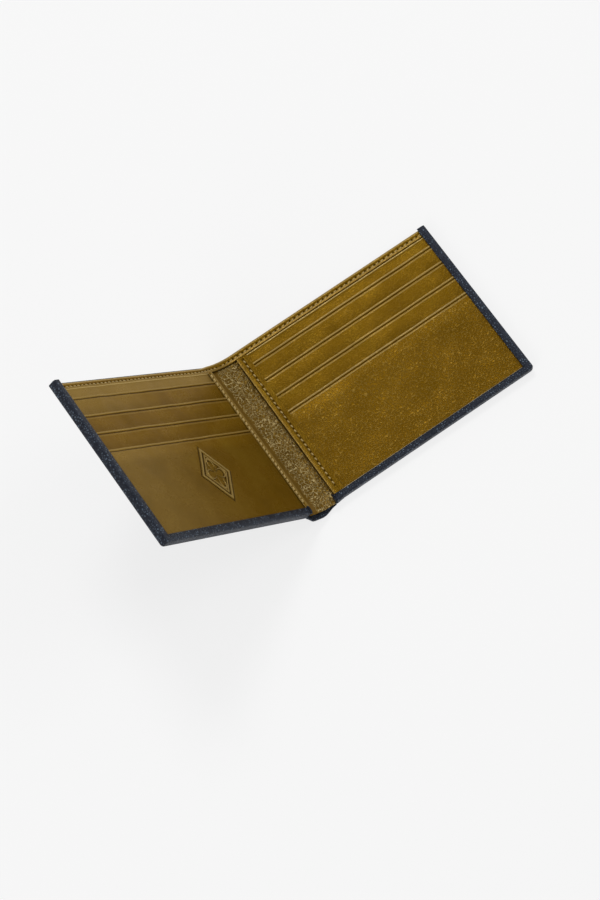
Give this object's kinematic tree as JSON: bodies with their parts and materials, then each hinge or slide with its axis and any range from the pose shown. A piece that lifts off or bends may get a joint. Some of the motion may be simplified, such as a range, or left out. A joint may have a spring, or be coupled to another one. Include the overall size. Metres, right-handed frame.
{
  "type": "bifold wallet",
  "caption": "Bifold leather wallet standing half open, with card slots and a stitched front pocket in each half and a bill compartment behind.",
  "frame": {"origin": "middle of the back half's outer face", "axes": "+X from the fold towards the back half's outer edge, +Y towards the open top of the bill compartment, +Z out of the back half's inside"},
  "size_m": [0.1953, 0.089, 0.0987],
  "materials": {
    "navy_leather": "fine pebbled navy leather, satin",
    "olive_leather": "glazed olive brown leather, glossy",
    "lining": "fine woven lining, matt",
    "board": "pressed leather fibre stiffener, matt",
    "thread": "twisted ochre thread"
  },
  "bodies": {
    "back_half": {"back_cover_leather": "navy_leather", "back_cover_board": "board", "back_bill_lining": "lining", "back_divider_lining": "lining", "back_divider": "olive_leather", "back_top_hem": "olive_leather", "back_top_hem_thread": "thread", "back_card_base": "olive_leather", "back_slot_1": "olive_leather", "back_slot_2": "olive_leather", "back_slot_3": "olive_leather", "back_slot_1_tail": "lining", "back_slot_2_tail": "lining", "back_slot_3_tail": "lining", "back_front_pocket": "olive_leather", "back_inner_hem": "olive_leather", "back_inner_hem_thread": "thread"},
    "spine": {"spine_cover": "navy_leather", "spine_bill_lining": "lining", "spine_divider_lining": "lining", "spine_divider": "olive_leather", "spine_top_hem": "olive_leather", "spine_top_hem_thread": "thread"},
    "front_half": {"front_cover_leather": "navy_leather", "front_cover_board": "board", "front_bill_lining": "lining", "front_divider_lining": "lining", "front_divider": "olive_leather", "front_top_hem": "olive_leather", "front_top_hem_thread": "thread", "front_card_base": "olive_leather", "front_slot_1": "olive_leather", "front_slot_2": "olive_leather", "front_slot_3": "olive_leather", "front_slot_1_tail": "lining", "front_slot_2_tail": "lining", "front_slot_3_tail": "lining", "front_front_pocket": "olive_leather", "front_inner_hem": "olive_leather", "front_inner_hem_thread": "thread"}
  },
  "joints": [
    {"name": "back_crease", "type": "hinge", "parent": "back_half", "child": "spine", "pos_m": [-0.0572, 0, 0.00035], "axis": [0, 1, 0], "range_deg": [-26.15, 63.85]},
    {"name": "front_crease", "type": "hinge", "parent": "spine", "child": "front_half", "pos_m": [-0.06797, 0, 0.00564], "axis": [0, 1, 0], "range_deg": [-26.15, 63.85]}
  ],
  "couplings": [
    {"joint": "back_crease", "follows": "front_crease", "ratio": 1}
  ]
}
